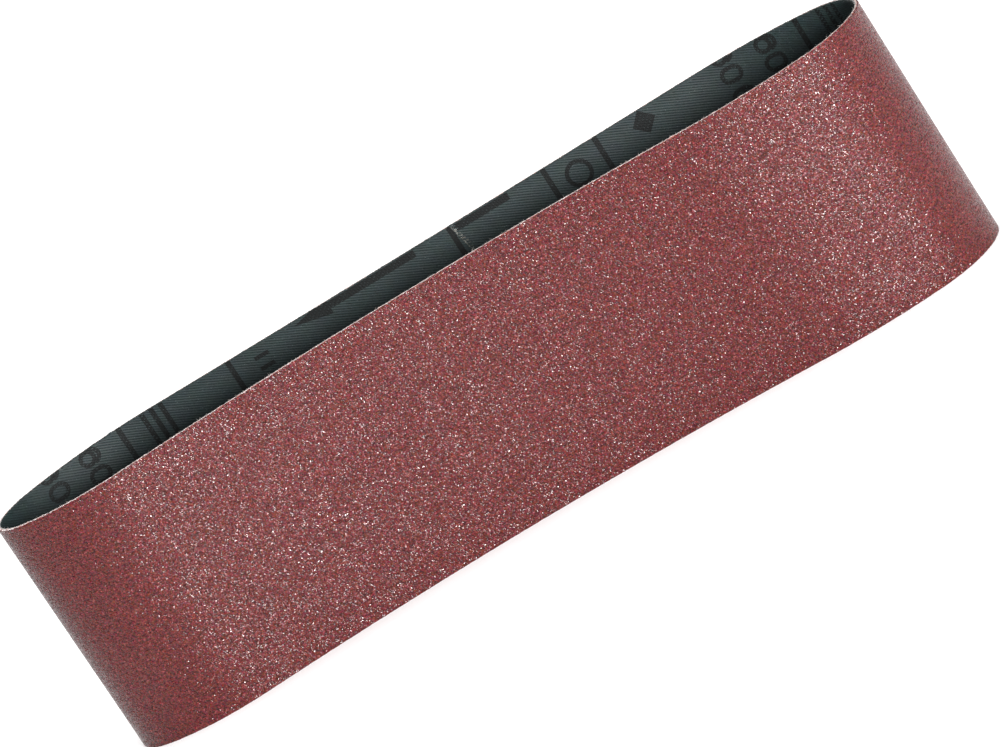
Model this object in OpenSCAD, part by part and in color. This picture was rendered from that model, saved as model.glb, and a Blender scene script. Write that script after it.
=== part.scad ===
// Sanding belt: a strip of coated abrasive cloth, spliced into an endless loop.
// The belt stands on one cut edge, with its width along Z. Seen from above it
// is a slack loop of eight tangent arcs: a round tip at each end, four wider
// shoulders, and two long walls that bow slightly inwards.
// Units are millimetres and degrees. The origin is the middle of the loop's
// box, on the surface that the belt stands on.

/* [Belt] */
// Inner circumference of the loop
loop_length = 610; // [606:1:616]
// Width of the belt
belt_width = 75; // [70:1:100]

/* [Layers] */
// Thickness of the twill backing cloth
cloth_thick = 0.65; // [0.5:0.05:0.9]
// Thickness of the resin that bonds the grain to the cloth
make_thick = 0.15; // [0.12:0.01:0.2]
// Thickness of the layer of abrasive grain
grain_thick = 0.25; // [0.15:0.05:0.4]
// Thickness of the resin over the grain
size_thick = 0.15; // [0.12:0.01:0.2]
// Thickness of the printed ink
ink_thick = 0.1; // [0.1:0.01:0.15]

/* [Splice] */
// Distance round the loop from the start of the left tip to the splice
splice_at = 459; // [450:1:470]
// Length over which the two skived ends overlap
lap_length = 12; // [10:0.5:15]
// Thickness of the adhesive film between the ends
film_thick = 0.1; // [0.1:0.01:0.15]
// Slant of the splice from square across the belt
splice_slant = 13; // [5:1:20]
// Width of the seam in the abrasive side
seam_gap = 0.6; // [0.4:0.1:1]

/* [Loop shape] */
// Inner radius of the left tip
left_tip_radius = 19; // [18:0.5:20]
// Angle that the left tip turns through
left_tip_turn = 112.5; // [111:0.5:114]
// Heading at which the left tip starts, from +X
left_tip_heading = -143.5; // [-144.5:0.5:-142.5]
// Inner radius of the shoulder at the front left
front_left_radius = 47; // [44:1:50]
// Angle that the front left shoulder turns through
front_left_turn = 40.5; // [39.5:0.5:41.5]
// Angle that the front wall bows inwards through
front_wall_turn = 18.5; // [17.5:0.5:19.5]
// Inner radius of the shoulder at the front right
front_right_radius = 100; // [96:1:104]
// Angle that the front right shoulder turns through
front_right_turn = 21.5; // [20.5:0.5:22.5]
// Angle that the right tip turns through
right_tip_turn = 145.5; // [143.5:0.5:147.5]
// Inner radius of the shoulder at the back right
back_right_radius = 86.5; // [84.5:0.5:88.5]
// Angle that the back right shoulder turns through
back_right_turn = 25; // [24:0.5:26]
// Angle that the back wall bows inwards through
back_wall_turn = 3.5; // [2.5:0.5:4.5]
// Inner radius of the shoulder at the back left
back_left_radius = 65.5; // [63.5:0.5:67.5]

/* [Print] */
// Length over which the print repeats along the belt
print_pitch = 193; // [192:0.5:194]
// Distance across the belt between two rows of the print
row_pitch = 50; // [45:1:55]
// Distance of the first row's centre line from the belt's upper edge
row_margin = 1.5; // [1.2:0.1:3]
// Distance from the splice to the tail of the first arrow
print_start = 21; // [20:0.5:22]
// Length of a running direction arrow
arrow_length = 40; // [36:1:44]
// Width of an arrow's shaft
shaft_width = 2.2; // [1.5:0.1:2.8]
// Width of an arrow's head
head_width = 5.2; // [4:0.2:7]
// Length of an arrow's head
head_length = 11.6; // [9:0.2:14]
// Width of a rule across the belt
rule_width = 1.6; // [1.2:0.1:2]
// Height of the grade number
digit_height = 6.8; // [6:0.2:8]
// Width of the lines that the numbers and the ring are drawn with
stroke = 1.2; // [1:0.1:1.5]

/* [Hidden] */

// How far a straight piece of the loop may lie from the true arc
chord_error = 0.02;
$fn = 48;
coat_thick = make_thick + grain_thick + size_thick;
belt_thick = cloth_thick + coat_thick;

// The loop as arcs in turn, counterclockwise from the back of the left tip. Each
// is [inner radius, angle it turns through], and the long walls turn the other
// way. What is left of the full turn goes to the last shoulder. Three radii
// follow from the others, because the loop has to close and to have its length:
// they are the front wall's, the right tip's and the back wall's.
back_left_turn = 360 - left_tip_turn - front_left_turn + front_wall_turn - front_right_turn
    - right_tip_turn - back_right_turn + back_wall_turn;
turns = [left_tip_turn, front_left_turn, -front_wall_turn, front_right_turn,
    right_tip_turn, back_right_turn, -back_wall_turn, back_left_turn];
function sum_to(list, i) = i <= 0 ? 0 * list[0] : list[i - 1] + sum_to(list, i - 1);
headings = [for (i = [0 : 7]) left_tip_heading + sum_to(turns, i)];

// Step in X, in Y and in length along an arc of radius 1 that turns by a from heading h
function unit_arc(h, a) = [sign(a) * (sin(h + a) - sin(h)), sign(a) * (cos(h) - cos(h + a)),
    abs(a) * PI / 180];
steps = [for (i = [0 : 7]) unit_arc(headings[i], turns[i])];
function determinant(a, b, c) = a * cross(b, c);
known_steps = left_tip_radius * steps[0] + front_left_radius * steps[1]
    + front_right_radius * steps[3] + back_right_radius * steps[5] + back_left_radius * steps[7];
missing = [0, 0, loop_length] - known_steps;
whole = determinant(steps[2], steps[4], steps[6]);
front_wall_radius = determinant(missing, steps[4], steps[6]) / whole;
right_tip_radius = determinant(steps[2], missing, steps[6]) / whole;
back_wall_radius = determinant(steps[2], steps[4], missing) / whole;
radii = [left_tip_radius, front_left_radius, front_wall_radius, front_right_radius,
    right_tip_radius, back_right_radius, back_wall_radius, back_left_radius];
moves = [for (i = [0 : 7]) radii[i] * steps[i]];
starts = [for (i = [0 : 7]) sum_to(moves, i)];

// Point of arc i where the loop has a given heading
function point_at(i, heading) = starts[i] + radii[i] * unit_arc(headings[i], heading - headings[i]);
low_x = point_at(0, -90)[0] - belt_thick;
high_x = point_at(4, 90)[0] + belt_thick;
low_y = min(point_at(1, 0)[1], point_at(3, 0)[1]) - belt_thick;
high_y = max(point_at(5, 180)[1], point_at(7, 180)[1]) + belt_thick;
middle = [(low_x + high_x) / 2, (low_y + high_y) / 2];

// Place at a distance round the loop: [point on the inner face, heading there]
function place(distance, i = 0) =
    let (left = distance - starts[i][2])
    i == 7 || left <= moves[i][2]
        ? let (turned = turns[i] * left / moves[i][2],
            at = starts[i] + radii[i] * unit_arc(headings[i], turned))
            [[at[0], at[1]] - middle, headings[i] + turned]
        : place(distance, i + 1);
// The same at a distance from the splice
function from_splice(distance) = place((splice_at + distance) % loop_length);

// Point of arc i at a fraction of its turn, at a distance outwards from the inner face
function arc_point(i, fraction, out) =
    let (turned = turns[i] * fraction,
        heading = headings[i] + turned,
        at = starts[i] + radii[i] * unit_arc(headings[i], turned))
    [at[0], at[1]] - middle + out * [sin(heading), -cos(heading)];

// Straight pieces that stand for arc i, each within chord_error of the true arc
function pieces(i) = ceil(moves[i][2] / sqrt(8 * radii[i] * chord_error));

// The loop's outline at a distance outwards from its inner face
function outline(out) =
    [for (i = [0 : 7]) for (k = [0 : pieces(i) - 1]) arc_point(i, k / pieces(i), out)];

// The whole loop's wall between two distances outwards from the inner face
module loop_wall(near, far) {
    linear_extrude(belt_width)
        difference() {
            polygon(outline(far));
            polygon(outline(near));
        }
}

// How far the slanted splice runs along the belt from mid-height to an edge
splice_lean = tan(splice_slant) * belt_width / 2;
// Length of strip on each side of the splice that is looked at when a mark is cut off
splice_reach = 30;

// Frame of the splice: X along the run, Y inwards, Z across the belt on the slant
module at_splice() {
    spot = from_splice(0);
    translate([spot[0][0], spot[0][1], belt_width / 2])
        rotate([0, 0, spot[1]])
            rotate([0, splice_slant, 0])
                children();
}

// The sloping slot between the two skived ends, from the inner face to the outer
module lap_slot() {
    overrun = 6;
    at_splice()
        rotate([0, 0, -atan(cloth_thick / lap_length)])
            translate([-overrun, -film_thick, -belt_width])
                cube([lap_length + 2 * overrun, film_thick, 2 * belt_width]);
}

// The seam across the abrasive side, over the place where the slot comes out
module coat_seam() {
    slot_width = film_thick / sin(atan(cloth_thick / lap_length));
    at_splice()
        translate([lap_length - slot_width / 2 - seam_gap / 2, -2 * belt_thick, -belt_width])
            cube([seam_gap, 2 * belt_thick, 2 * belt_width]);
}

// Half of the space near the splice: side 1 is the start of the strip, side -1 its end
module strip_side(side) {
    at_splice()
        translate([side < 0 ? -splice_reach : 0, -belt_thick, -belt_width])
            cube([splice_reach, 2 * belt_thick, 2 * belt_width]);
}

// A mark printed on the inner face, drawn as it is seen from inside the loop. Near
// the splice it stops where its own end of the strip stops.
module mark(distance, height) {
    depth = 5;
    spot = from_splice(distance);
    difference() {
        translate([spot[0][0], spot[0][1], height])
            rotate([0, 0, spot[1]])
                rotate([90, 0, 0])
                    mirror([1, 0, 0])
                        linear_extrude(depth, center = true)
                            children();
        if (distance < splice_reach / 2) strip_side(-1);
        if (distance > loop_length - splice_reach / 2) strip_side(1);
    }
}

ink_colour = [0.08, 0.09, 0.10];
// Rows of the print across the belt, from the upper edge downwards
rows = [belt_width - row_margin, belt_width - row_margin - row_pitch];
// Distances from the splice at which the print starts again
repeats = [for (k = [-1 : 3]) print_start + k * print_pitch];

// A mark at one distance into each repeat, and at each height in turn
module printed(along, heights) {
    for (begin = repeats, height = heights)
        let (distance = begin + along)
            if (distance > -splice_lean && distance < loop_length + splice_lean)
                mark(distance, height) children();
}

// Ink where a drawing meets the inner face, and inside the belt's edges
module ink() {
    intersection() {
        loop_wall(-ink_thick, 0);
        children();
    }
}

module arrow_outline() {
    tip = -arrow_length / 2;
    polygon([
        [tip, 0], [tip + head_length, head_width / 2], [tip + head_length, shaft_width / 2],
        [-tip, shaft_width / 2], [-tip, -shaft_width / 2],
        [tip + head_length, -shaft_width / 2], [tip + head_length, -head_width / 2]
    ]);
}

// A bar with its centre at the given place
module bar(length, width) {
    square([length, width], center = true);
}

module ring(outer) {
    difference() {
        circle(outer);
        circle(outer - stroke);
    }
}

// Half of a ring, on the upper side
module half_ring(outer) {
    intersection() {
        ring(outer);
        translate([-outer, 0]) square([2 * outer, outer]);
    }
}

digit_radius = 2.6;
digit_gap = 0.8;
// A nought: two half rings and two straight sides
module digit_nought() {
    rise = digit_height / 2 - digit_radius;
    translate([0, rise]) half_ring(digit_radius);
    rotate(180) translate([0, rise]) half_ring(digit_radius);
    for (side = [-1, 1])
        translate([side * (digit_radius - stroke / 2), 0]) bar(stroke, 2 * rise);
}

// A six: a ring below, and a side that curls over above it
module digit_six() {
    rise = digit_height / 2 - digit_radius;
    translate([0, -rise]) ring(digit_radius);
    translate([0, rise]) half_ring(digit_radius);
    translate([-digit_radius + stroke / 2, 0]) bar(stroke, 2 * rise);
}

// The grade number, read downwards across the belt
module grade_outline() {
    rotate(-90) {
        digit_six();
        translate([2 * digit_radius + digit_gap, 0]) digit_nought();
    }
}

module backing_cloth() {
    color([0.23, 0.28, 0.29])
        difference() {
            loop_wall(0, cloth_thick);
            lap_slot();
        }
}

module splice_adhesive() {
    color([0.36, 0.25, 0.16])
        intersection() {
            loop_wall(0, cloth_thick);
            lap_slot();
        }
}

// One layer of the abrasive side, open at the seam
module coat(under, thick) {
    difference() {
        loop_wall(cloth_thick + under, cloth_thick + under + thick);
        coat_seam();
    }
}

module make_coat() {
    color([0.42, 0.16, 0.14]) coat(0, make_thick);
}

module abrasive_grain() {
    color([0.55, 0.26, 0.26]) coat(make_thick, grain_thick);
}

module size_coat() {
    color([0.60, 0.24, 0.24]) coat(make_thick + grain_thick, size_thick);
}

module direction_arrows() {
    color(ink_colour) ink() {
        for (begin = repeats)
            if (begin > 0 && begin + arrow_length < loop_length)
                for (height = rows) mark(begin + arrow_length / 2, height) arrow_outline();
        // The shaft of the last arrow, which the splice cuts off
        shaft_start = repeats[4];
        shaft_length = loop_length + splice_lean - shaft_start;
        for (height = rows)
            mark(shaft_start + shaft_length / 2, height) bar(shaft_length, shaft_width);
    }
}

module rule_lines() {
    // Distances of the rules into the print
    places = [61.6, 98.4, 164.1, 181.1];
    color(ink_colour) ink()
        for (along = places)
            printed(along, [belt_width / 2]) bar(rule_width, 2 * belt_width);
}

module grade_numbers() {
    // Distances of the numbers into the print, and heights of the first one down
    lines = [[109.4, rows[0] - 1], [122.1, rows[0] + 2.1]];
    step_down = 13;
    color(ink_colour) ink()
        for (line = lines)
            printed(line[0], [for (k = [0 : 4]) line[1] - k * step_down]) grade_outline();
}

module strokes_and_dashes() {
    // Three long strokes side by side: distance into the print, and depth below the row
    strokes_along = 87.5;
    strokes_down = 4.5;
    stroke_step = 3.1;
    // A column of three short dashes
    dashes_along = 52.3;
    first_dash_down = 2.2;
    dash_step = 3.4;
    color(ink_colour) ink() {
        for (k = [-1 : 1])
            printed(strokes_along + k * stroke_step, [for (row = rows) row - strokes_down])
                bar(1.5, 11.5);
        for (k = [0 : 2])
            printed(dashes_along, [for (row = rows) row - first_dash_down - k * dash_step])
                bar(4.6, 1.2);
    }
}

module rings_and_diamonds() {
    // Distances into the print, and depths below the row
    ring_along = 172.8;
    ring_down = 5.1;
    diamond_along = 149.9;
    diamond_down = 2.4;
    diamond_side = 5.2;
    color(ink_colour) ink() {
        printed(ring_along, [for (row = rows) row - ring_down]) ring(4.1);
        printed(diamond_along, [for (row = rows) row - diamond_down])
            rotate(45) bar(diamond_side, diamond_side);
    }
}

backing_cloth();
splice_adhesive();
make_coat();
abrasive_grain();
size_coat();
direction_arrows();
rule_lines();
grade_numbers();
strokes_and_dashes();
rings_and_diamonds();
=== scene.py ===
"""Looks of a sanding belt that stands on its edge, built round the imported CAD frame.

Lengths are metres. A place on the belt is (distance, z, out): the distance round the
inner face from the back of the left tip, the height above the lower cut edge, and the
distance outwards from the inner face.
"""
import math

import bpy
import numpy as np
from mathutils import Matrix, Vector
from mathutils.geometry import delaunay_2d_cdt


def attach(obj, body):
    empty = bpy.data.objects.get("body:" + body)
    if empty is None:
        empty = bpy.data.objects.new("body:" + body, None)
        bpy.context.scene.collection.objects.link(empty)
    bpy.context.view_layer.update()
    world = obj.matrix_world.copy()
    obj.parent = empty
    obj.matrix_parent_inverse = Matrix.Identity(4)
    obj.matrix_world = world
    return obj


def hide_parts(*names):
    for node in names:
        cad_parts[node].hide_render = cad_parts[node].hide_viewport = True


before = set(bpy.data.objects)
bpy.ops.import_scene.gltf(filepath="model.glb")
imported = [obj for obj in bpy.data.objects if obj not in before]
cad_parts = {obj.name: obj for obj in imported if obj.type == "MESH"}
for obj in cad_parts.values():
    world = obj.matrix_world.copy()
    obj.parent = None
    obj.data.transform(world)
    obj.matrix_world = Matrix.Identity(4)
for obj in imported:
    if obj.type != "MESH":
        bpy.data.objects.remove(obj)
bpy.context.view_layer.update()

MM = 0.001
LOOP_LENGTH = 610 * MM
WIDTH = 75 * MM
CLOTH_THICK = 0.65 * MM
MAKE_THICK = 0.15 * MM
BELT_THICK = 1.2 * MM

# The loop's arcs as (inner radius in mm, turn in degrees). A radius of 0 follows from
# the loop's length and from its closing on itself.
ARCS = [(19, 112.5), (47, 40.5), (0, -18.5), (100, 21.5),
        (0, 145.5), (86.5, 25), (0, -3.5), (65.5, 37)]
FIRST_HEADING = math.radians(-143.5)

SPLICE_AT = 459 * MM
SPLICE_SLANT = math.radians(13)
# How far the splice line runs along the belt between the belt's middle and its edge
SPLICE_LEAN = math.tan(SPLICE_SLANT) * WIDTH / 2
LAP_LENGTH = 12 * MM

# The lap's free end on the inner face: its rise, over how far, and how much it flattens ribs
LAP_STEP = 0.16 * MM
LAP_RISE = (-0.15 * MM, 0.1 * MM)
LAP_PRESS = 0.55

# The seam in the coats on the outer face, from the splice line, and its rounded shoulder
SEAM_AT = LAP_LENGTH - 0.9 * MM
SEAM_GAP = 0.6 * MM
SEAM_SHOULDER = 0.25 * MM

# Twill: ribs round the whole loop, how far one runs along the belt for its height, how
# steep its flanks are, and how far it wanders, in ribs
RIB_COUNT = 373
RIB_SHEAR = 1.98
RIB_HEIGHT = 0.09 * MM
RIB_SHAPE = 2.4
RIB_WANDER = 0.10
CLOTH_WAVINESS = 0.03 * MM
# The cloth's mesh
COLUMNS_PER_RIB = 6
INNER_ROWS = 76
OUTER_ROWS = 31

# The cloth's cut edge: its rounding, its depths outwards, and its fuzz, nicks and burrs
EDGE_MARGIN = 0.06 * MM
EDGE_DEPTHS = (0.10 * MM, 0.33 * MM, 0.56 * MM)
UPPER_FUZZ = 0.035 * MM
LOWER_FUZZ = 0.02 * MM
NICK_DEPTH = 0.16 * MM
BURR_COUNT = 110
BURR_REACH = (0.3 * MM, 0.9 * MM)
NICK_OR_BURR = [-1.0, 0.7]

# Grains: their spacing, and the height of one unit of their relief
GRAIN_PITCH = 0.60 * MM
GRAIN_RELIEF = 0.050 * MM
GRAIN_COLUMNS = 2440
GRAIN_ROWS = 300
# A grain's place in its cell, in spacings, and its level, tilt and shape, in units of relief
GRAIN_PLACE = (0.30, 0.70)
LEVEL_SPREAD = 0.22
TILT_SPREAD = 0.9
DOME_FALL = 4.6
LEAST_RELIEF, MOST_RELIEF = -1.4, 1.3

# The abrasive coat: its middle level under the CAD's surface, its mesh's random shifts and
# where they stop, and its least height over the make coat, as well as in the seam
GRAIN_SUNK = 0.07 * MM
GRAIN_SHAKE = 0.06 * MM
STILL_RIM = 0.2 * MM
LEAST_COAT = 0.02 * MM
SEAM_COAT = 0.03 * MM
# Wear along its edges: how far it reaches, its depths, the depth that looks fully worn, how
# far chips run past the peaks of their waves, and how far the upper rim drops
WEAR_REACH = 0.45 * MM
LEAST_WEAR = 0.04 * MM
CHIP_WEAR = 0.20 * MM
FULL_WEAR = 0.3 * MM
CHIP_SPREAD = 0.25
RIM_DROP = 0.06 * MM

# Print: its repeat and its rows, and the film of ink
PRINT_PITCH = 193 * MM
PRINT_START = 21 * MM
ROW_PITCH = 50 * MM
ROW_HEIGHTS = [WIDTH - 1.5 * MM, WIDTH - 1.5 * MM - ROW_PITCH]
INK_THICK = 0.03 * MM
INK_SUNK = 0.02 * MM
STROKE = 1.2 * MM
ARC_POINTS = 41
# Its mesh: the steps along outlines and up the ribs, the margin at the belt's edges, and
# how close to the splice a mark is cut at it
OUTLINE_STEP = 0.3 * MM
LATTICE_STEP = 0.5 * MM
PRINT_MARGIN = 0.1 * MM
NEAR_SPLICE = 30 * MM
# Its marks: sizes, distances into a repeat (_AT) and distances under a row (_DOWN).
# GRADES has both for each column of numbers.
ARROW_LENGTH = 40 * MM
SHAFT_WIDTH = 2.2 * MM
HEAD_WIDTH = 5.2 * MM
HEAD_LENGTH = 11.6 * MM
RULES_AT = [61.6 * MM, 98.4 * MM, 164.1 * MM, 181.1 * MM]
RULE_WIDTH = 1.6 * MM
STROKES_AT = 87.5 * MM
STROKES_DOWN = 4.5 * MM
STROKE_PITCH = 3.1 * MM
STROKE_SIZE = (1.5 * MM, 11.5 * MM)
DASHES_AT = 52.3 * MM
DASHES_DOWN = 2.2 * MM
DASH_PITCH = 3.4 * MM
DASH_SIZE = (4.6 * MM, 1.2 * MM)
RINGS_AT = 172.8 * MM
RINGS_DOWN = 5.1 * MM
RING_RADIUS = 4.1 * MM
DIAMONDS_AT = 149.9 * MM
DIAMONDS_DOWN = 2.4 * MM
DIAMOND_SIDE = 5.2 * MM
GRADES = [(109.4 * MM, 1 * MM), (122.1 * MM, -2.1 * MM)]
GRADE_PITCH = 13 * MM
GRADES_UP = 5
DIGIT_HEIGHT = 6.8 * MM
DIGIT_RADIUS = 2.6 * MM
DIGIT_STEP = 2 * DIGIT_RADIUS + 0.8 * MM

PRINTED = {
    "printed_arrows": "direction_arrows",
    "printed_rules": "rule_lines",
    "printed_grades": "grade_numbers",
    "printed_strokes": "strokes_and_dashes",
    "printed_rings": "rings_and_diamonds",
}

# Glue stain: its mesh, its width and its start over the splice line
GLUE_COLUMNS = 25
GLUE_ROWS = 301
GLUE_MARGIN = 0.15 * MM
GLUE_WIDTH = 1.25 * MM
GLUE_WIDTH_WAVES = 0.6 * MM
GLUE_LAPS = 0.12 * MM
GLUE_SUNK = 0.06 * MM
GLUE_SKIN = 0.025 * MM
GLUE_BEAD = 0.07 * MM
# As shares of its width: the bead's place and size, and where the skin is full and fades out
BEAD_AT, BEAD_SIZE = 0.08, 0.09
FULL_FROM, FADE_FROM = 0.03, 0.7
# How much of the cloth's relief the skin follows
GLUE_FOLLOWS = 0.7

# Fibres: their bend as a share of their length, and (share of length, share of radius)
FIBRE_BEND = 0.35
FIBRE_PROFILE = [(0.0, 1.0), (0.5, 0.9), (1.0, 0.25)]
FIBRE_SIDES = 3

# Threads at the lap's free end
FRAY_COUNT = 210
FRAY_MARGIN = 0.5 * MM
FRAY_SPREAD = 0.14 * MM
FRAY_SUNK = 0.01 * MM
FRAY_LENGTHS = (0.35 * MM, 1.1 * MM)
FRAY_RADIUS = 0.075 * MM
# Its lean along the belt, inwards, and the spread of its lean upwards
FRAY_ALONG, FRAY_INWARDS, FRAY_UPWARDS = -0.6, 0.35, 0.55

# Thread ends along the cut edges
EDGE_FIBRE_COUNT = 1500
UPPER_SHARE = 0.75
EDGE_FIBRE_DEPTHS = (0.02 * MM, 0.55 * MM)
EDGE_FIBRE_LENGTHS = (0.18 * MM, 0.55 * MM)
EDGE_FIBRE_RADIUS = 0.045 * MM
EDGE_FIBRE_SPREAD = 0.7
UPPER_ROOTS = WIDTH - 0.1 * MM
LOWER_ROOTS = 0.25 * MM
UPPER_LEAN, LOWER_LEAN = 1.0, 0.05


# ---------------------------------------------------------------- the loop

def unit_arc(heading, turned):
    """Steps in X, in Y and in length along an arc of radius 1."""
    side = np.sign(turned)
    return np.array([
        side * (np.sin(heading + turned) - np.sin(heading)),
        side * (np.cos(heading) - np.cos(heading + turned)),
        np.abs(turned),
    ])


def close_loop():
    """(radii, turns, headings, starts) of the arcs, with the missing radii solved."""
    turns = np.radians([turn for _, turn in ARCS])
    headings = FIRST_HEADING + np.concatenate([[0], np.cumsum(turns)[:-1]])
    radii = np.array([radius for radius, _ in ARCS]) * MM
    steps = np.array([unit_arc(h, t) for h, t in zip(headings, turns)])
    unknown = radii == 0
    rest = np.array([0, 0, LOOP_LENGTH]) - (radii[:, None] * steps).sum(axis=0)
    radii[unknown] = np.linalg.solve(steps[unknown].T, rest)
    moves = radii[:, None] * steps
    starts = np.concatenate([np.zeros((1, 3)), np.cumsum(moves, axis=0)[:-1]])
    return radii, turns, headings, starts


RADII, TURNS, HEADINGS, STARTS = close_loop()


def place(distance):
    """(x, y, heading) on the inner face, before the loop is centred."""
    distance = np.asarray(distance, dtype=float) % LOOP_LENGTH
    arc = np.searchsorted(STARTS[:, 2], distance, side="right") - 1
    turned = np.sign(TURNS[arc]) * (distance - STARTS[arc, 2]) / RADII[arc]
    step = RADII[arc] * unit_arc(HEADINGS[arc], turned)
    return STARTS[arc, 0] + step[0], STARTS[arc, 1] + step[1], HEADINGS[arc] + turned


def loop_middle():
    """Middle of the box round the outer face, which is the CAD frame's origin."""
    samples = 60001
    x, y, heading = place(np.linspace(0, LOOP_LENGTH, samples))
    x = x + BELT_THICK * np.sin(heading)
    y = y - BELT_THICK * np.cos(heading)
    return (x.min() + x.max()) / 2, (y.min() + y.max()) / 2


MIDDLE = loop_middle()


def on_belt(distance, z, out):
    """Points in the row frame at places on the belt, as an array with a last axis of 3."""
    distance, z, out = np.broadcast_arrays(distance, z, out)
    x, y, heading = place(distance)
    return np.stack([
        x - MIDDLE[0] + out * np.sin(heading),
        y - MIDDLE[1] - out * np.cos(heading),
        z,
    ], axis=-1)


def short_way(distance):
    """A distance round the loop, as one from half a loop back to half a loop on."""
    return (distance + LOOP_LENGTH / 2) % LOOP_LENGTH - LOOP_LENGTH / 2


def splice_line(z):
    """Distance at which the slanted splice line crosses a height."""
    return SPLICE_AT + np.tan(SPLICE_SLANT) * (z - WIDTH / 2)


def past_splice(distance, z):
    """Distance beyond the splice line, from half a loop before it to half after."""
    return short_way(distance - splice_line(z))


def smooth(low, high, value):
    """0 below low, 1 above high, and a smooth rise between them."""
    t = np.clip((value - low) / (high - low), 0, 1)
    return t * t * (3 - 2 * t)


def waves(distance, z, count, shortest, seed):
    """Smooth random relief between about -1 and 1 that closes round the loop."""
    longest = 5
    random = np.random.default_rng(seed)
    total = np.zeros(np.broadcast(distance, z).shape)
    for _ in range(count):
        length = shortest * random.uniform(1, longest)
        angle = random.uniform(0, math.tau)
        turns = round(LOOP_LENGTH / length * math.cos(angle))
        rise = math.sin(angle) / length
        phase = random.uniform(0, 1)
        total += np.sin(math.tau * (turns * distance / LOOP_LENGTH + rise * z + phase))
    return total / math.sqrt(2 * count)


# ---------------------------------------------------------------- mesh helpers

def new_piece(name, points, faces, material, slot, flat=False, **values):
    """A named piece that rides on the one body, from arrays of points and of faces."""
    mesh = bpy.data.meshes.new(name)
    mesh.vertices.add(len(points))
    mesh.vertices.foreach_set("co", np.ascontiguousarray(points, dtype=np.float32).ravel())
    mesh.loops.add(faces.size)
    mesh.loops.foreach_set("vertex_index", np.ascontiguousarray(faces, np.int32).ravel())
    mesh.polygons.add(len(faces))
    mesh.polygons.foreach_set("loop_start", np.arange(len(faces)) * faces.shape[1])
    mesh.update(calc_edges=True)
    mesh.polygons.foreach_set("use_smooth", np.full(len(faces), not flat))
    for key, value in values.items():
        layer = mesh.attributes.new(key, "FLOAT", "POINT")
        layer.data.foreach_set("value", np.ascontiguousarray(value, np.float32).ravel())
    mesh.materials.append(material)
    piece = bpy.data.objects.new(name, mesh)
    bpy.context.scene.collection.objects.link(piece)
    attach(piece, "root")
    return piece


def tube_faces(columns, ring):
    """Quads of a grid of points that closes round the loop and round its own section."""
    i, k = np.meshgrid(np.arange(columns), np.arange(ring), indexing="ij")
    after, above = (i + 1) % columns, (k + 1) % ring
    corners = [i * ring + k, i * ring + above, after * ring + above, after * ring + k]
    return np.stack(corners, axis=-1).reshape(-1, 4)


# ---------------------------------------------------------------- twill backing

def rib(distance, z):
    """Height of a twill rib, from 0 in a groove to 1 on a crest."""
    turn = (distance - RIB_SHEAR * z) * RIB_COUNT / LOOP_LENGTH
    turn = turn + RIB_WANDER * waves(distance, z, count=10, shortest=2.2 * MM, seed=6)
    return 1 - np.abs(2 * (turn % 1) - 1) ** RIB_SHAPE


def inner_relief(distance, z):
    """How far the cloth stands inwards: ribs, waviness, and the lap's free end."""
    past = past_splice(distance, z)
    lap = smooth(*LAP_RISE, past) * (1 - smooth(0, LAP_LENGTH, past))
    ribs = RIB_HEIGHT * (rib(distance, z) - 0.5) * (1 - LAP_PRESS * lap)
    slow = waves(distance, z, count=14, shortest=9 * MM, seed=5)
    return ribs + CLOTH_WAVINESS * slow + LAP_STEP * lap


def edge_noise(distance, seed, fine, nick):
    """Raggedness of a cut edge: fine fuzz, with a few deeper nicks and burrs."""
    random = np.random.default_rng(seed)
    fuzz = random.normal(0, fine, distance.shape)
    burrs = np.zeros(distance.shape)
    for at in random.uniform(0, LOOP_LENGTH, BURR_COUNT):
        away = np.abs(short_way(distance - at))
        reach = random.uniform(*BURR_REACH)
        burrs += random.choice(NICK_OR_BURR) * nick * np.clip(1 - away / reach, 0, 1)
    return fuzz + burrs


def build_twill(material, edge_material):
    """The backing cloth: ribbed inside, with a ragged, lighter cut edge above and below."""
    columns = RIB_COUNT * COLUMNS_PER_RIB
    start = np.arange(columns)[:, None] * LOOP_LENGTH / columns
    bottom, top = EDGE_MARGIN, WIDTH - EDGE_MARGIN
    inner = [(z, 0.0) for z in np.linspace(bottom, top, INNER_ROWS)]
    lip = [(WIDTH, out) for out in EDGE_DEPTHS]
    outer = [(z, CLOTH_THICK) for z in np.linspace(top, bottom, OUTER_ROWS)]
    foot = [(0.0, out) for out in reversed(EDGE_DEPTHS)]
    z, out = np.array(inner + lip + outer + foot).T[:, None, :]
    distance = start + RIB_SHEAR * z
    inside = out == 0
    depth = np.where(inside, -inner_relief(distance, z), out)
    ragged = edge_noise(distance, seed=11, fine=UPPER_FUZZ, nick=NICK_DEPTH)
    rough = np.abs(edge_noise(distance, seed=12, fine=LOWER_FUZZ, nick=0))
    height = z + np.where(z == WIDTH, ragged, 0) + np.where(z == 0, rough, 0)
    ribs = np.where(inside, rib(distance, z), 0.5)
    points = on_belt(distance, height, depth).reshape(-1, 3)
    faces = tube_faces(columns, z.shape[1])
    piece = new_piece("twill_backing", points, faces, material, "backing", rib=ribs)
    piece.data.materials.append(edge_material)
    # The lip's two outer strips and every strip of the foot have the cut edge's material
    strip = np.tile(np.arange(z.shape[1]), columns)
    lip_start, outer_start = len(inner), len(inner) + len(lip)
    on_lip = (strip > lip_start) & (strip < outer_start)
    on_foot = strip >= outer_start + len(outer) - 1
    piece.data.polygons.foreach_set("material_index", (on_lip | on_foot).astype(np.int32))
    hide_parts("backing_cloth")
    return piece


# ---------------------------------------------------------------- abrasive side

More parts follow.
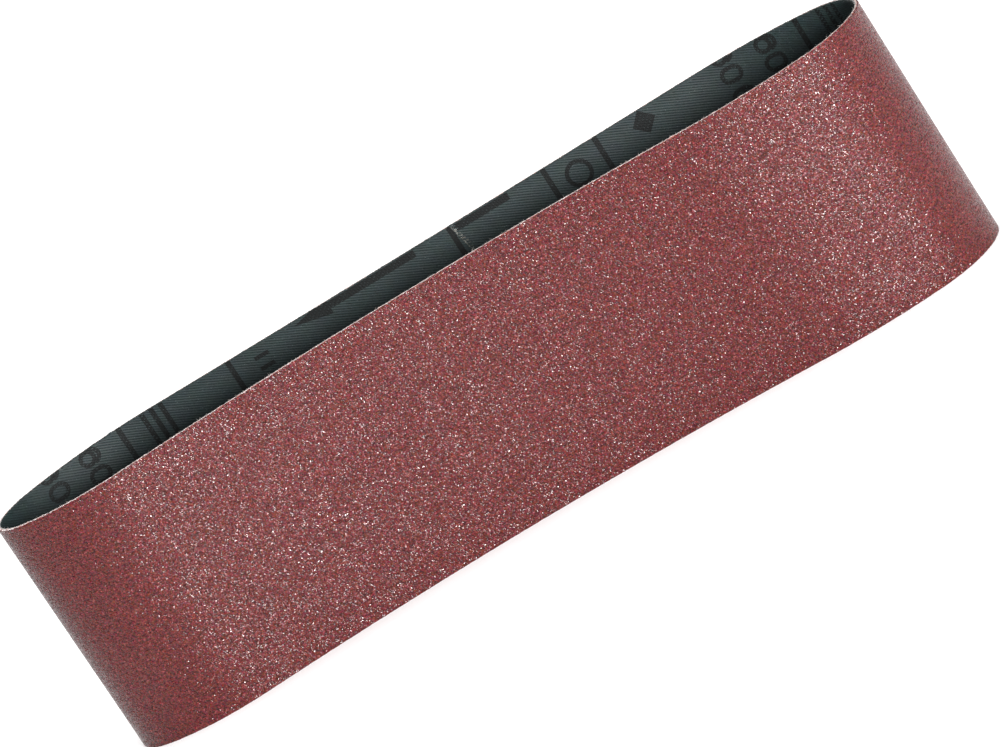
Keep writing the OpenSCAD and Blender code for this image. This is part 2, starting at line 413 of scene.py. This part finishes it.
def grain_relief(distance, z, seed):
    """Relief of evenly spaced grains, from about -1 in the gaps to 1 on top. Each grain
    is a low dome with its own tilt and level."""
    across = round(LOOP_LENGTH / GRAIN_PITCH)
    rows_below, rows_above = 1, 2
    up = round(WIDTH / GRAIN_PITCH) + rows_below + rows_above
    random = np.random.default_rng(seed)
    shift = random.uniform(*GRAIN_PLACE, (across, up, 2))
    level = random.normal(0, LEVEL_SPREAD, (across, up))
    tilt = random.normal(0, TILT_SPREAD, (across, up, 2))
    u = distance / LOOP_LENGTH * across
    v = z / GRAIN_PITCH + rows_below
    best = np.full(u.shape, LEAST_RELIEF)
    for dv in (-1, 0, 1):
        j = np.clip(np.floor(v).astype(int) + dv, 0, up - 1)
        row_shift = 0.5 * (j % 2)
        for du in (-1, 0, 1):
            i = np.floor(u - row_shift).astype(int) + du
            cell = (i % across, j)
            away_u = u - row_shift - i - shift[cell][..., 0]
            away_v = v - j - shift[cell][..., 1]
            slope = tilt[cell][..., 0] * away_u + tilt[cell][..., 1] * away_v
            dome = 1 - DOME_FALL * (away_u ** 2 + away_v ** 2)
            best = np.maximum(best, dome + level[cell] + slope)
    return np.minimum(best, MOST_RELIEF)


def build_grain(material):
    """The abrasive coat as one faceted surface over the make coat, open at the seam."""
    under = CLOTH_THICK + MAKE_THICK
    ring_z = np.concatenate([[0, WIDTH], np.linspace(WIDTH, 0, GRAIN_ROWS)])
    outer = np.arange(ring_z.size) >= 2
    start = np.arange(GRAIN_COLUMNS) * LOOP_LENGTH / GRAIN_COLUMNS
    distance, z = np.meshgrid(start, ring_z, indexing="ij")
    random = np.random.default_rng(21)
    shake = random.uniform(-GRAIN_SHAKE, GRAIN_SHAKE, (2,) + z.shape)
    distance = distance + np.where(outer, shake[0], 0)
    z = z + np.where(outer & (z > STILL_RIM) & (z < WIDTH - STILL_RIM), shake[1], 0)
    from_edge = np.minimum(z, WIDTH - z)
    relief = grain_relief(distance, z, seed=22)
    chips = waves(distance, z, count=40, shortest=1.1 * MM, seed=23) + CHIP_SPREAD
    depth = LEAST_WEAR + CHIP_WEAR * np.clip(chips, 0, 1)
    wear = (1 - smooth(0, WEAR_REACH, from_edge)) * depth
    height = BELT_THICK - GRAIN_SUNK + GRAIN_RELIEF * relief - wear
    from_seam = np.abs(past_splice(distance, z) - SEAM_AT)
    seam = 1 - smooth(SEAM_GAP / 2, SEAM_GAP / 2 + SEAM_SHOULDER, from_seam)
    height = np.maximum(height + (under + SEAM_COAT - height) * seam, under + LEAST_COAT)
    ragged = np.clip(waves(distance, 0 * z, count=60, shortest=0.8 * MM, seed=24), -1, 1)
    z = z - np.where(outer & (z == WIDTH), RIM_DROP * (1 + ragged), 0)
    points = on_belt(distance, z, np.where(outer, height, under)).reshape(-1, 3)
    faces = tube_faces(GRAIN_COLUMNS, ring_z.size)
    worn = np.clip(wear / FULL_WEAR, 0, 1)
    piece = new_piece("grain_surface", points, faces, material, "grain", flat=True,
                      high=relief, worn=worn)
    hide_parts("abrasive_grain", "size_coat")
    return piece


# ---------------------------------------------------------------- print

def bar(length, width, at=(0, 0)):
    """Outline of a rectangle round a place, as the only outline of a shape."""
    x, y = length / 2, width / 2
    corners = np.array([(-x, -y), (x, -y), (x, y), (-x, y)])
    return [corners + np.array(at)]


def arc_points(radius, start, end, at=(0, 0)):
    """Points of a circular arc, between two angles in degrees."""
    angles = np.radians(np.linspace(start, end, ARC_POINTS))
    return radius * np.stack([np.cos(angles), np.sin(angles)], axis=-1) + np.array(at)


def ring(outer, at=(0, 0)):
    """A ring's two outlines."""
    return [arc_points(outer, 0, 360, at)[:-1], arc_points(outer - STROKE, 0, 360, at)[:-1]]


def half_ring(outer, start, at):
    """Half of a ring, from a starting angle, as one outline."""
    far = arc_points(outer, start, start + 180, at)
    near = arc_points(outer - STROKE, start + 180, start, at)
    return [np.concatenate([far, near])]


def diamond(side):
    """A square that stands on its corner."""
    half = side / math.sqrt(2)
    return [np.array([(-half, 0), (0, -half), (half, 0), (0, half)])]


def arrow():
    """An arrow that points to the left, about its middle."""
    tip = -ARROW_LENGTH / 2
    neck = tip + HEAD_LENGTH
    shaft, head = SHAFT_WIDTH / 2, HEAD_WIDTH / 2
    return [np.array([(tip, 0), (neck, -head), (neck, -shaft), (-tip, -shaft),
                      (-tip, shaft), (neck, shaft), (neck, head)])]


def grade_number():
    """The grade number 60 as shapes, read downwards."""
    rise = DIGIT_HEIGHT / 2 - DIGIT_RADIUS
    side = DIGIT_RADIUS - STROKE / 2
    six = [ring(DIGIT_RADIUS, (0, -rise)), half_ring(DIGIT_RADIUS, 0, (0, rise)),
           bar(STROKE, 2 * rise, (-side, 0))]
    x = DIGIT_STEP
    nought = [half_ring(DIGIT_RADIUS, 0, (x, rise)), half_ring(DIGIT_RADIUS, 180, (x, -rise)),
              bar(STROKE, 2 * rise, (x - side, 0)), bar(STROKE, 2 * rise, (x + side, 0))]
    return [[outline @ np.array([[0, -1], [1, 0]]) for outline in shape]
            for shape in six + nought]


def clip_outline(outline, keep):
    """The part of an outline where keep(points) is at least 0."""
    values = keep(outline)
    result = []
    for k in range(len(outline)):
        a, b = outline[k - 1], outline[k]
        va, vb = values[k - 1], values[k]
        if (va < 0) != (vb < 0):
            result.append(a + (b - a) * va / (va - vb))
        if vb >= 0:
            result.append(b)
    return np.array(result).reshape(-1, 2)


def resample(outline, step):
    """The outline with its long edges split."""
    result = []
    for k in range(len(outline)):
        a, b = outline[k - 1], outline[k]
        pieces = max(1, math.ceil(np.linalg.norm(b - a) / step))
        result += [a + (b - a) * (n + 1) / pieces for n in range(pieces)]
    return np.array(result)


def within(points, shape):
    """Which points lie inside a shape, by the even-odd rule over its outlines."""
    inside = np.zeros(len(points), dtype=bool)
    x, y = points.T
    for outline in shape:
        for k in range(len(outline)):
            (xa, ya), (xb, yb) = outline[k - 1], outline[k]
            if ya == yb:
                continue
            crosses = (ya > y) != (yb > y)
            inside ^= crosses & (x < xa + (y - ya) * (xb - xa) / (yb - ya))
    return inside


def trim(shapes, distance):
    """Shapes in (distance, z), cut at the belt's edges and, close to it, at the splice."""
    cuts = [lambda p: p[:, 1] - PRINT_MARGIN, lambda p: WIDTH - PRINT_MARGIN - p[:, 1]]
    if abs(past_splice(distance, WIDTH / 2)) < NEAR_SPLICE:
        side = 1 if distance < LOOP_LENGTH else -1
        cuts.append(lambda p: side * past_splice(p[:, 0], p[:, 1]))
    trimmed = []
    for shape in shapes:
        for cut in cuts:
            shape = [clip_outline(outline, cut) for outline in shape if len(outline) > 2]
        shape = [resample(outline, OUTLINE_STEP) for outline in shape if len(outline) > 2]
        if shape:
            trimmed.append(shape)
    return trimmed


def rib_lattice(low, high):
    """Places on the twill's crests, grooves and flanks inside a box of (distance, z)."""
    step = LOOP_LENGTH / (RIB_COUNT * COLUMNS_PER_RIB)
    z = np.arange(low[1], high[1], LATTICE_STEP)
    first = math.floor((low[0] - RIB_SHEAR * high[1]) / step)
    last = math.ceil((high[0] - RIB_SHEAR * low[1]) / step)
    u, z = np.meshgrid(np.arange(first, last) * step, z)
    places = np.stack([u + RIB_SHEAR * z, z], axis=-1).reshape(-1, 2)
    return places[(places[:, 0] > low[0]) & (places[:, 0] < high[0])]


def film(shapes):
    """(places, triangles) that fill the shapes with a mesh fine enough for the ribs."""
    outlines = [outline for shape in shapes for outline in shape]
    ends = np.cumsum([len(outline) for outline in outlines])
    edge_points = np.concatenate(outlines)
    lattice = rib_lattice(edge_points.min(axis=0), edge_points.max(axis=0))
    filled = np.any([within(lattice, shape) for shape in shapes], axis=0)
    places = np.concatenate([edge_points, lattice[filled]]) / MM
    edges = [(k, k + 1 if k + 1 < end else end - len(outline))
             for end, outline in zip(ends, outlines) for k in range(end - len(outline), end)]
    all_triangles, merge_within = 0, 1e-4
    vectors = [Vector(p) for p in places]
    solved = delaunay_2d_cdt(vectors, edges, [], all_triangles, merge_within)
    points = np.array([tuple(p) for p in solved[0]]) * MM
    triangles = np.array([tuple(face) for face in solved[2] if len(face) == 3])
    centres = points[triangles].mean(axis=1)
    inside = np.any([within(centres, shape) for shape in shapes], axis=0)
    return points, triangles[inside]


def solid_film(points, triangles):
    """(points, triangles, ribs) of a closed film over the cloth's relief."""
    distance, z = points.T
    relief = inner_relief(distance, z)
    top = on_belt(distance, z, -(relief + INK_THICK))
    bottom = on_belt(distance, z, -(relief - INK_SUNK))
    edges = np.concatenate([triangles[:, [0, 1]], triangles[:, [1, 2]], triangles[:, [2, 0]]])
    keys = {(a, b) for a, b in edges.tolist()}
    rim = np.array([(a, b) for a, b in edges.tolist() if (b, a) not in keys])
    count = len(points)
    a, b = rim.T
    walls = [np.stack([a, b, b + count], axis=-1), np.stack([a, b + count, a + count], axis=-1)]
    faces = np.concatenate([triangles[:, ::-1], triangles + count] + walls)
    return np.concatenate([top, bottom]), faces, np.tile(rib(distance, z), 2)


def print_marks(name, marks, material):
    """A printed piece from marks, each (shapes as seen from inside, distance past the
    splice, height)."""
    parts, faces, ribs, count = [], [], [], 0
    for shapes, from_splice, height in marks:
        distance = SPLICE_AT + from_splice
        placed = [[np.array([distance, height]) + outline * np.array([-1, 1])
                   for outline in shape] for shape in shapes]
        placed = trim(placed, distance)
        if not placed:
            continue
        points, triangles, rib_values = solid_film(*film(placed))
        parts.append(points)
        faces.append(triangles + count)
        ribs.append(rib_values)
        count += len(points)
    piece = new_piece(name, np.concatenate(parts), np.concatenate(faces), material, "ink",
                      flat=True, rib=np.concatenate(ribs))
    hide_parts(PRINTED[name])
    return piece


def repeated(shapes, along, heights):
    """Marks at one distance into each repeat of the print, and at each height."""
    distances = [PRINT_START + k * PRINT_PITCH + along for k in range(-1, 4)]
    return [(shapes, distance, height) for distance in distances for height in heights
            if -SPLICE_LEAN < distance < LOOP_LENGTH + SPLICE_LEAN]


def lowered(down):
    """Heights at one distance under each row of the print."""
    return [height - down for height in ROW_HEIGHTS]


def build_arrows():
    """Three whole arrows in each row, and the shaft of a fourth that ends at the splice."""
    whole = [PRINT_START + k * PRINT_PITCH + ARROW_LENGTH / 2 for k in range(3)]
    arrows = [([arrow()], distance, height) for distance in whole for height in ROW_HEIGHTS]
    last = PRINT_START + 3 * PRINT_PITCH
    length = LOOP_LENGTH + SPLICE_LEAN - last
    shaft = [bar(length, SHAFT_WIDTH)]
    return arrows + [(shaft, last + length / 2, height) for height in ROW_HEIGHTS]


def build_strokes():
    """Three strokes side by side, and three dashes one under the other."""
    strokes = []
    for k in (-1, 0, 1):
        strokes += repeated([bar(*STROKE_SIZE)], STROKES_AT + k * STROKE_PITCH,
                            lowered(STROKES_DOWN))
    for k in range(3):
        strokes += repeated([bar(*DASH_SIZE)], DASHES_AT, lowered(DASHES_DOWN + k * DASH_PITCH))
    return strokes


def build_grades():
    """Two columns of grade numbers."""
    grades = []
    for along, down in GRADES:
        heights = [ROW_HEIGHTS[0] - down - k * GRADE_PITCH for k in range(GRADES_UP)]
        grades += repeated(grade_number(), along, heights)
    return grades


def build_print(material):
    """The five printed pieces."""
    rules = []
    for along in RULES_AT:
        rules += repeated([bar(RULE_WIDTH, 2 * WIDTH)], along, [WIDTH / 2])
    rings = repeated([ring(RING_RADIUS)], RINGS_AT, lowered(RINGS_DOWN))
    rings += repeated([diamond(DIAMOND_SIDE)], DIAMONDS_AT, lowered(DIAMONDS_DOWN))
    sets = [build_arrows(), rules, build_grades(), build_strokes(), rings]
    return [print_marks(name, marks, material) for name, marks in zip(PRINTED, sets)]


# ---------------------------------------------------------------- splice and fibres

def build_glue(material):
    """Adhesive squeezed out of the lap, along the splice on the inner face."""
    across, up = GLUE_COLUMNS, GLUE_ROWS
    z = np.linspace(GLUE_MARGIN, WIDTH - GLUE_MARGIN, up)[None, :]
    width = GLUE_WIDTH + GLUE_WIDTH_WAVES * waves(0 * z, z, count=12, shortest=3 * MM, seed=31)
    t = np.linspace(0, 1, across)[:, None]
    distance = splice_line(z) + GLUE_LAPS - width * t
    bead = GLUE_BEAD * np.exp(-((t - BEAD_AT) / BEAD_SIZE) ** 2)
    skin = (GLUE_SKIN + bead) * smooth(0, FULL_FROM, t) * (1 - smooth(FADE_FROM, 1, t))
    relief = inner_relief(distance, z)
    top = on_belt(distance, z, -(relief * GLUE_FOLLOWS + skin))
    bottom = on_belt(distance, z, -relief + GLUE_SUNK)
    points = np.concatenate([top.reshape(-1, 3), bottom.reshape(-1, 3)])
    i, j = np.meshgrid(np.arange(across - 1), np.arange(up - 1), indexing="ij")
    a = (i * up + j).ravel()
    quads = np.stack([a, a + up, a + up + 1, a + 1], axis=-1)
    rim = np.concatenate([
        np.arange(up - 1),
        np.arange(across - 1) * up + up - 1,
        (across - 1) * up + np.arange(up - 1, 0, -1),
        np.arange(across - 1, 0, -1) * up,
    ])
    after = np.roll(rim, -1)
    count = across * up
    walls = np.stack([rim, after, after + count, rim + count], axis=-1)
    faces = np.concatenate([quads, quads[:, ::-1] + count, walls])
    piece = new_piece("splice_glue", points, faces, material, "adhesive")
    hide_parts("splice_adhesive")
    return piece


def build_fibres(name, roots, leans, lengths, radius, material):
    """Short tapered fibres: a root, a lean and a length each, bent a little."""
    count = len(roots)
    random = np.random.default_rng(count)
    leans = leans / np.linalg.norm(leans, axis=1, keepdims=True)
    bend = random.normal(0, FIBRE_BEND, (count, 3)) * lengths[:, None]
    side = np.cross(leans, random.normal(0, 1, (count, 3)))
    side /= np.linalg.norm(side, axis=1, keepdims=True)
    other = np.cross(leans, side)
    points = []
    for t, thick in FIBRE_PROFILE:
        centre = roots + leans * (lengths * t)[:, None] + bend * t * t
        for k in range(FIBRE_SIDES):
            angle = k * math.tau / FIBRE_SIDES
            offset = side * math.cos(angle) + other * math.sin(angle)
            points.append(centre + offset * radius * thick)
    tip = len(points) - FIBRE_SIDES
    faces = [(0, 2, 1), (tip, tip + 1, tip + 2)]
    for low in range(0, tip, FIBRE_SIDES):
        high = low + FIBRE_SIDES
        for k in range(FIBRE_SIDES):
            after = (k + 1) % FIBRE_SIDES
            faces += [(low + k, low + after, high + after), (low + k, high + after, high + k)]
    first = len(points) * np.arange(count)[:, None, None]
    faces = (np.array(faces)[None] + first).reshape(-1, 3)
    points = np.stack(points, axis=1).reshape(-1, 3)
    return new_piece(name, points, faces, material, "backing")


def build_fray(material):
    """Threads that stand out of the lap's free end on the inner face."""
    random = np.random.default_rng(41)
    z = random.uniform(FRAY_MARGIN, WIDTH - FRAY_MARGIN, FRAY_COUNT)
    distance = splice_line(z) + random.normal(0, FRAY_SPREAD, FRAY_COUNT)
    roots = on_belt(distance, z, -inner_relief(distance, z) - FRAY_SUNK)
    heading = place(distance)[2]
    along = np.stack([np.cos(heading), np.sin(heading), 0 * heading], axis=-1)
    inwards = np.stack([-np.sin(heading), np.cos(heading), 0 * heading], axis=-1)
    upwards = random.normal(0, FRAY_UPWARDS, (FRAY_COUNT, 1)) * np.array([0, 0, 1.0])
    leans = FRAY_ALONG * along + FRAY_INWARDS * inwards + upwards
    lengths = random.uniform(*FRAY_LENGTHS, FRAY_COUNT)
    return build_fibres("splice_fray", roots, leans, lengths, FRAY_RADIUS, material)


def build_edge_fibres(material):
    """Cut thread ends: upright ones on the upper edge, and more level ones by the lower."""
    random = np.random.default_rng(43)
    distance = random.uniform(0, LOOP_LENGTH, EDGE_FIBRE_COUNT)
    upper = random.uniform(0, 1, EDGE_FIBRE_COUNT) < UPPER_SHARE
    out = random.uniform(*EDGE_FIBRE_DEPTHS, EDGE_FIBRE_COUNT)
    roots = on_belt(distance, np.where(upper, UPPER_ROOTS, LOWER_ROOTS), out)
    leans = random.normal(0, EDGE_FIBRE_SPREAD, (EDGE_FIBRE_COUNT, 3))
    leans[:, 2] = np.where(upper, UPPER_LEAN, LOWER_LEAN)
    lengths = random.uniform(*EDGE_FIBRE_LENGTHS, EDGE_FIBRE_COUNT)
    return build_fibres("edge_fibres", roots, leans, lengths, EDGE_FIBRE_RADIUS, material)


# ---------------------------------------------------------------- materials

class Shader:
    """A node material with one Principled shader, and short calls that add nodes."""

    def __init__(self, name, **sockets):
        self.material = bpy.data.materials.new(name)
        self.material.use_nodes = True
        self.tree = self.material.node_tree
        self.shader = self.tree.nodes["Principled BSDF"]
        for socket, value in sockets.items():
            self.shader.inputs[socket.replace("_", " ")].default_value = value
        self.place = self.tree.nodes.new("ShaderNodeTexCoord").outputs["Object"]

    def node(self, kind, settings=(), **inputs):
        """Adds a node. Inputs are by name, as values or as another node's output."""
        made = self.tree.nodes.new(kind)
        for key, value in dict(settings).items():
            setattr(made, key, value)
        for key, value in inputs.items():
            socket = made.inputs[int(key[1:])] if key[1:].isdigit() else made.inputs[key]
            self.feed(socket, value)
        return made

    def feed(self, socket, value):
        """Links an output to a socket, or sets the socket's value."""
        if isinstance(value, bpy.types.NodeSocket):
            self.tree.links.new(value, socket)
        else:
            socket.default_value = value

    def noise(self, scale, detail=2.0, roughness=0.5):
        """Smooth noise, with its scale in waves per metre."""
        return self.node("ShaderNodeTexNoise", Vector=self.place, Scale=scale,
                         Detail=detail, Roughness=roughness)

    def cells(self, scale):
        """Random cells, with their scale in cells per metre."""
        return self.node("ShaderNodeTexVoronoi", Vector=self.place, Scale=scale)

    def ramp(self, value, stops):
        """A colour ramp from (position, colour) stops."""
        made = self.node("ShaderNodeValToRGB", Fac=value)
        ramp = made.color_ramp
        while len(ramp.elements) < len(stops):
            ramp.elements.new(1.0)
        for element, (position, colour) in zip(ramp.elements, stops):
            element.position = position
            element.color = (*colour, 1.0)
        return made.outputs["Color"]

    def mix(self, factor, a, b, blend="MIX"):
        """Mixes two colours."""
        made = self.tree.nodes.new("ShaderNodeMix")
        made.data_type = "RGBA"
        made.blend_type = blend
        for index, value in ((0, factor), (6, a), (7, b)):
            self.feed(made.inputs[index], (*value, 1.0) if isinstance(value, tuple) else value)
        return made.outputs[2]

    def math(self, operation, a, b):
        """One step of arithmetic."""
        return self.node("ShaderNodeMath", {"operation": operation}, _0=a, _1=b).outputs[0]

    def span(self, value, low, high, start=0.0, end=1.0):
        """Maps a value from start..end to low..high, held at the ends."""
        made = self.node("ShaderNodeMapRange", Value=value)
        for index, number in enumerate((start, end, low, high), start=1):
            made.inputs[index].default_value = number
        return made.outputs["Result"]

    def attribute(self, name):
        """A value that the mesh carries at its points."""
        return self.node("ShaderNodeAttribute", {"attribute_name": name}).outputs["Fac"]

    def bump(self, height, strength, distance):
        """Feeds the shader a normal that a height bends."""
        made = self.node("ShaderNodeBump", Height=height, Strength=strength, Distance=distance)
        self.feed(self.shader.inputs["Normal"], made.outputs["Normal"])

    def tilt_facets(self, colours, amount):
        """Tilts the surface cell by cell, by each cell's random colour."""
        centred = self.node("ShaderNodeVectorMath", {"operation": "SUBTRACT"},
                            _0=colours, _1=(0.5, 0.5, 0.5)).outputs[0]
        tilt = self.node("ShaderNodeVectorMath", {"operation": "SCALE"}, _0=centred,
                         Scale=amount).outputs[0]
        facing = self.tree.nodes.new("ShaderNodeNewGeometry").outputs["Normal"]
        tilted = self.node("ShaderNodeVectorMath", _0=facing, _1=tilt).outputs[0]
        unit = self.node("ShaderNodeVectorMath", {"operation": "NORMALIZE"}, _0=tilted)
        self.feed(self.shader.inputs["Normal"], unit.outputs[0])

    def finish(self, colour, roughness):
        """Feeds the shader its colour and roughness, and gives the material."""
        self.feed(self.shader.inputs["Base Color"], colour)
        self.feed(self.shader.inputs["Roughness"], roughness)
        return self.material


def grain_material():
    """Crushed grain under a red-brown resin, with painted shade that darkens the gaps and tops
    that glint.
    """
    s = Shader("grain", Specular_IOR_Level=0.31)
    cell = s.cells(3000).outputs["Color"]
    pick = s.node("ShaderNodeSeparateColor", Color=cell).outputs
    body = s.ramp(pick[0], [
        (0.0, (0.060, 0.002, 0.002)), (0.85, (0.098, 0.003, 0.003)),
        (1.0, (0.180, 0.034, 0.033)),
    ])
    body = s.mix(0.018, body, cell)
    # Painted shade: the colour darkens towards the gaps between grains, by the relief's height
    painted_gap_shade = s.span(s.attribute("high"), 0.36, 1.10, -0.4, 0.7)
    shade = s.node("ShaderNodeCombineColor", _0=painted_gap_shade, _1=painted_gap_shade, _2=painted_gap_shade).outputs[0]
    body = s.mix(1.0, body, shade, "MULTIPLY")
    worn = s.span(s.attribute("worn"), 0.0, 0.55, 0.30, 0.9)
    body = s.mix(worn, body, (0.36, 0.13, 0.11))
    s.tilt_facets(s.cells(3700).outputs["Color"], 0.58)
    return s.finish(body, s.span(pick[2], 0.15, 0.30))


def make_material():
    """Hard red-brown resin, seen only at the cut edges and in the seam."""
    s = Shader("make_resin", Specular_IOR_Level=0.5)
    mottle = s.noise(900, 3.0).outputs["Fac"]
    colour = s.ramp(mottle, [(0.3, (0.13, 0.045, 0.035)), (0.7, (0.30, 0.13, 0.10))])
    s.bump(s.noise(4500).outputs["Fac"], 0.5, 0.06 * MM)
    return s.finish(colour, s.span(mottle, 0.3, 0.6))


def twill_colour_with_rib_shade(s, groove, crest):
    """Rib shading from the mesh's own relief, broken up along each yarn."""
    yarn = s.noise(2600, 3.0, 0.65).outputs["Fac"]
    height = s.math("ADD", s.attribute("rib"), s.span(yarn, -0.55, 0.55, 0.3, 0.7))
    return s.ramp(s.span(height, 0.0, 1.0, 0.0, 1.2), [(0.0, groove), (0.75, crest)]), yarn


def twill_material():
    """Resin-filled twill, dark grey-green, with painted highlight on the crests and painted
    shade in the grooves, a mottle and pale flecks.
    """
    s = Shader("twill", Specular_IOR_Level=0.27)
    # Painted shade in the grooves and painted highlight on the crests
    colour, yarn = twill_colour_with_rib_shade(s, (0.002, 0.004, 0.004), (0.018, 0.029, 0.030))
    cloud = s.noise(95, 3.0).outputs["Fac"]
    colour = s.mix(s.span(cloud, 0.0, 0.5, 0.35, 0.75), colour, (0.007, 0.013, 0.012))
    tint = s.noise(330).outputs["Color"]
    colour = s.mix(0.18, colour, tint, "OVERLAY")
    fleck = s.span(s.noise(3300, 1.0).outputs["Fac"], 0.0, 0.5, 0.70, 0.78)
    colour = s.mix(fleck, colour, (0.15, 0.18, 0.18))
    s.bump(yarn, 0.55, 0.09 * MM)
    return s.finish(colour, s.span(yarn, 0.42, 0.72))


def ink_material():
    """Matt black ink, worn to a dark grey-green in small specks."""
    s = Shader("ink", Specular_IOR_Level=0.22)
    # Painted shade in the grooves and painted highlight on the crests, as on the twill
    colour, yarn = twill_colour_with_rib_shade(s, (0.001, 0.001, 0.001), (0.004, 0.005, 0.005))
    worn = s.span(s.noise(2900).outputs["Fac"], 0.0, 0.7, 0.62, 0.76)
    colour = s.mix(worn, colour, (0.020, 0.028, 0.028))
    s.bump(yarn, 0.5, 0.08 * MM)
    return s.finish(colour, s.span(yarn, 0.5, 0.8))


def edge_material():
    """The cloth's cut edge: pale thread ends in darker resin."""
    s = Shader("cut_edge", Specular_IOR_Level=0.3)
    threads = s.noise(2300, 2.0, 0.6).outputs["Fac"]
    colour = s.ramp(threads, [(0.30, (0.16, 0.10, 0.09)), (0.48, (0.42, 0.30, 0.27)),
                              (0.72, (0.66, 0.56, 0.52))])
    s.bump(s.noise(6000).outputs["Fac"], 0.6, 0.08 * MM)
    return s.finish(colour, s.span(threads, 0.6, 0.9))


def fibre_material(name, pale, dark):
    """Loose thread ends, pale with darker ones among them."""
    s = Shader(name, Specular_IOR_Level=0.3)
    pick = s.noise(700, 1.0).outputs["Fac"]
    return s.finish(s.ramp(pick, [(0.38, dark), (0.58, pale)]), s.span(pick, 0.6, 0.85))


def glue_material():
    """Cured adhesive in streaks, from the cloth's grey-green to pale brown."""
    s = Shader("glue", Specular_IOR_Level=0.5, Coat_Weight=0.25, Coat_Roughness=0.3)
    streak = s.noise(520, 3.0).outputs["Fac"]
    colour = s.ramp(streak, [(0.30, (0.018, 0.026, 0.024)), (0.60, (0.040, 0.040, 0.032)),
                             (0.80, (0.085, 0.068, 0.050))])
    s.bump(s.noise(2400).outputs["Fac"], 0.4, 0.1 * MM)
    return s.finish(colour, s.span(streak, 0.25, 0.5))


def floor_material():
    """A plain white floor with the faintest mottle."""
    s = Shader("floor", Specular_IOR_Level=0.1)
    paper = s.noise(60).outputs["Fac"]
    colour = s.ramp(paper, [(0.0, (0.93, 0.93, 0.93)), (1.0, (0.97, 0.97, 0.97))])
    return s.finish(colour, s.span(paper, 0.85, 0.95))


# ---------------------------------------------------------------- stage

CAMERA_ELEVATION = math.radians(13.347)
CAMERA_AZIMUTH = math.radians(-9.014)
CAMERA_ROLL = math.radians(33.094)
CAMERA_DISTANCE = 1.6343
CAMERA_LENS = 212.08
# Where the belt's middle lies from the camera's axis, to the right and down
CAMERA_OFFSET = (-1.478 * MM, 0.204 * MM)

FLOOR_SIZE = 12.0
WORLD_STRENGTH = 0.30
OVERHEAD_STRENGTH = 2.7
OVERHEAD_SPREAD = math.radians(60)


def build_camera():
    """The camera at the photograph's viewing angle, rolled about its own axis."""
    level, turn = CAMERA_ELEVATION, CAMERA_AZIMUTH
    forward = np.array([math.sin(turn) * math.cos(level), math.cos(turn) * math.cos(level),
                        -math.sin(level)])
    right = np.array([math.cos(turn), -math.sin(turn), 0.0])
    down = np.cross(forward, right)
    roll = (math.cos(CAMERA_ROLL), math.sin(CAMERA_ROLL))
    across = roll[0] * right + roll[1] * down
    below = -roll[1] * right + roll[0] * down
    offset = CAMERA_OFFSET[0] * across + CAMERA_OFFSET[1] * below + CAMERA_DISTANCE * forward
    position = np.array([0, 0, WIDTH / 2]) - offset
    data = bpy.data.cameras.new("camera")
    data.sensor_width = 36
    data.lens = CAMERA_LENS
    data.clip_end = 50
    camera = bpy.data.objects.new("camera", data)
    axes = np.stack([across, -below, -forward], axis=-1)
    camera.matrix_world = Matrix.Translation(position) @ Matrix(axes.tolist()).to_4x4()
    bpy.context.scene.collection.objects.link(camera)
    bpy.context.scene.camera = camera


def area_light(name, azimuth, elevation, distance, size, power):
    """A square soft light that faces the belt. Azimuth 0 is -Y, near the camera."""
    azimuth, elevation = math.radians(azimuth), math.radians(elevation)
    data = bpy.data.lights.new(name, "AREA")
    data.size = size
    data.energy = power
    light = bpy.data.objects.new(name, data)
    towards = Vector((math.sin(azimuth) * math.cos(elevation),
                      -math.cos(azimuth) * math.cos(elevation), math.sin(elevation)))
    light.location = towards * distance + Vector((0, 0, WIDTH / 2))
    light.rotation_euler = towards.to_track_quat("Z", "Y").to_euler()
    bpy.context.scene.collection.objects.link(light)


def build_stage():
    """White floor, pale world, a soft overhead light, a key light from the right of the
    camera, and a weak wide fill from behind for the sides that the camera doesn't see."""
    mesh = bpy.data.meshes.new("floor")
    half = FLOOR_SIZE / 2
    mesh.from_pydata([(-half, -half, 0), (half, -half, 0), (half, half, 0), (-half, half, 0)],
                     [], [(0, 1, 2, 3)])
    mesh.materials.append(floor_material())
    floor = bpy.data.objects.new("floor", mesh)
    bpy.context.scene.collection.objects.link(floor)
    world = bpy.data.worlds.new("world")
    world.use_nodes = True
    background = world.node_tree.nodes["Background"]
    background.inputs["Color"].default_value = (1.0, 1.0, 1.0, 1.0)
    background.inputs["Strength"].default_value = WORLD_STRENGTH
    bpy.context.scene.world = world
    bpy.context.scene.view_settings.view_transform = "Standard"
    area_light("key", azimuth=24, elevation=9, distance=1.6, size=0.24, power=44)
    area_light("fill", azimuth=196, elevation=24, distance=1.6, size=0.7, power=15)
    overhead = bpy.data.lights.new("overhead", "SUN")
    overhead.energy = OVERHEAD_STRENGTH
    overhead.angle = OVERHEAD_SPREAD
    bpy.context.scene.collection.objects.link(bpy.data.objects.new("overhead", overhead))


# ---------------------------------------------------------------- assembly


def build_belt():
    """Every piece of the belt."""
    make_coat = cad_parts["make_coat"]
    for holder in make_coat.material_slots:
        holder.material = make_material()
    twill = build_twill(twill_material(), edge_material())
    build_grain(grain_material())
    marks = build_print(ink_material())
    glue = build_glue(glue_material())
    pale, dark = (0.62, 0.60, 0.54), (0.20, 0.22, 0.21)
    fray = build_fray(fibre_material("fray", pale, dark))
    fibres = build_edge_fibres(fibre_material("edge_thread", (0.46, 0.40, 0.37), dark))


build_belt()
build_camera()
build_stage()
